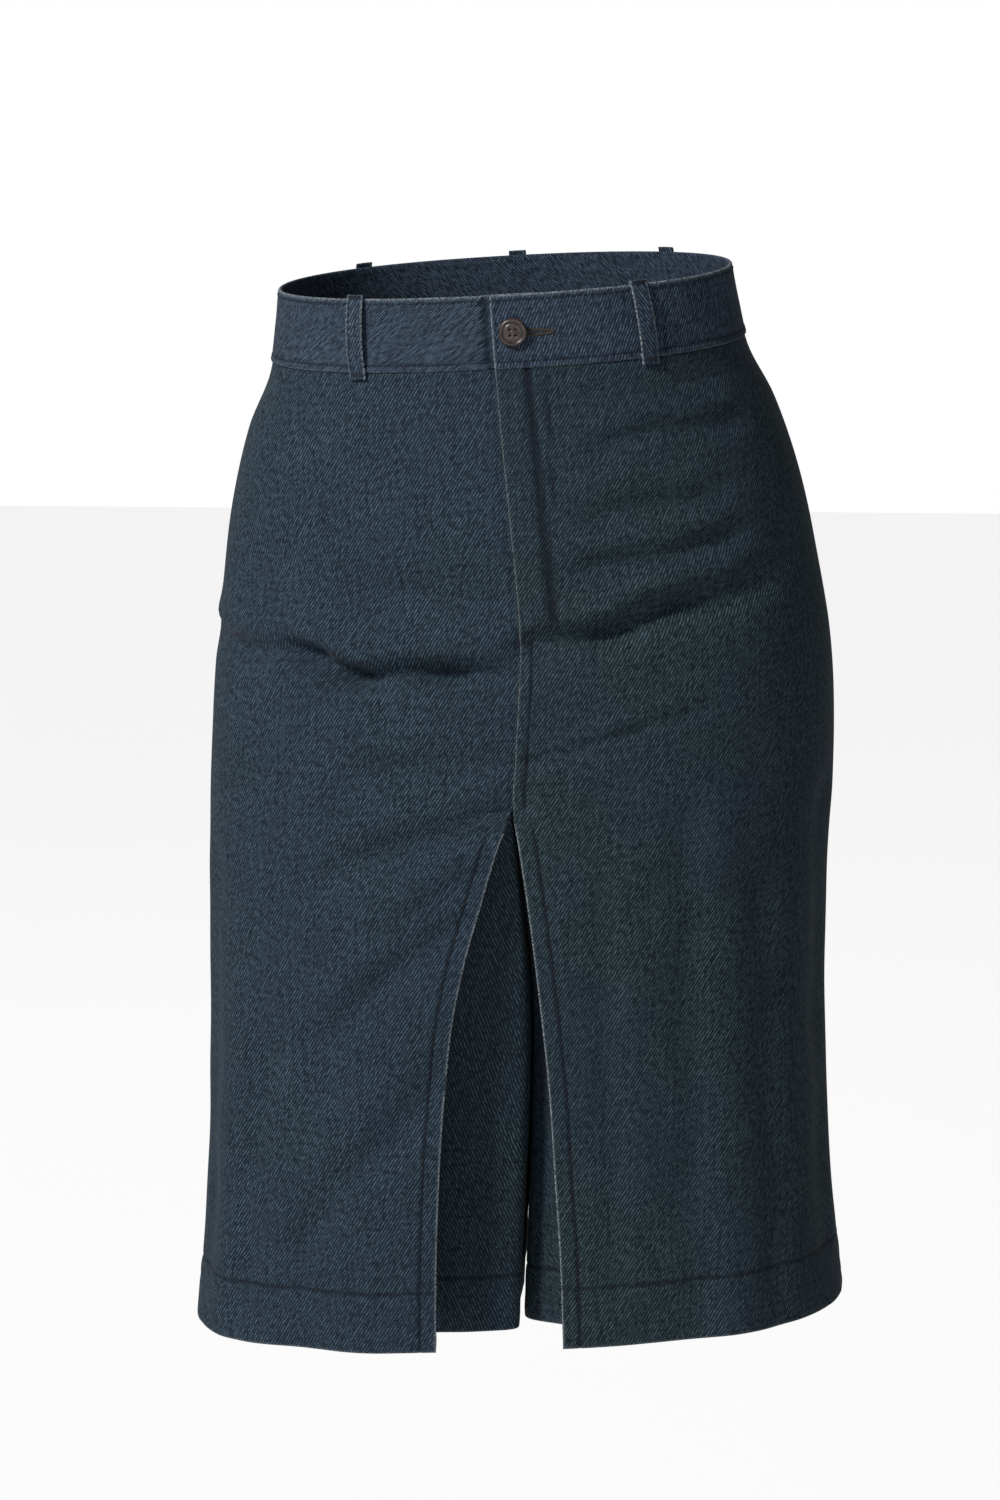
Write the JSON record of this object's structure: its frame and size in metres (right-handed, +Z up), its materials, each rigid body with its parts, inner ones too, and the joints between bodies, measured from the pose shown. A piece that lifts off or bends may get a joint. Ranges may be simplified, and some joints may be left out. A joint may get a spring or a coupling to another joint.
{
  "type": "denim culottes with a pleated front opening",
  "caption": "Knee-length denim culottes, worn form, with a waistband, button, belt loops and a front that opens over pleat underlays.",
  "frame": {"origin": "centre of the waistband at half its height, where the wearer's waist holds the garment", "axes": "+Z up the garment from hem to waist, -Y the front, +X the wearer's left"},
  "size_m": [0.3993, 0.2554, 0.6543],
  "materials": {
    "denim": "dark navy twill denim with a teal cast, matt",
    "button": "dark brown horn-look, satin",
    "buttonhole_thread": "dark olive-brown stitching"
  },
  "bodies": {
    "root": {"waistband": "denim", "fly_shield": "denim", "front_right": "denim", "front_left": "denim", "back_right": "denim", "back_left": "denim", "pleat_right": "denim", "pleat_left": "denim", "belt_loop_front_right": "denim", "belt_loop_front_left": "denim", "belt_loop_back_right": "denim", "belt_loop_back_left": "denim", "belt_loop_back_middle": "denim", "button": "button", "buttonhole": "buttonhole_thread"}
  },
  "joints": []
}
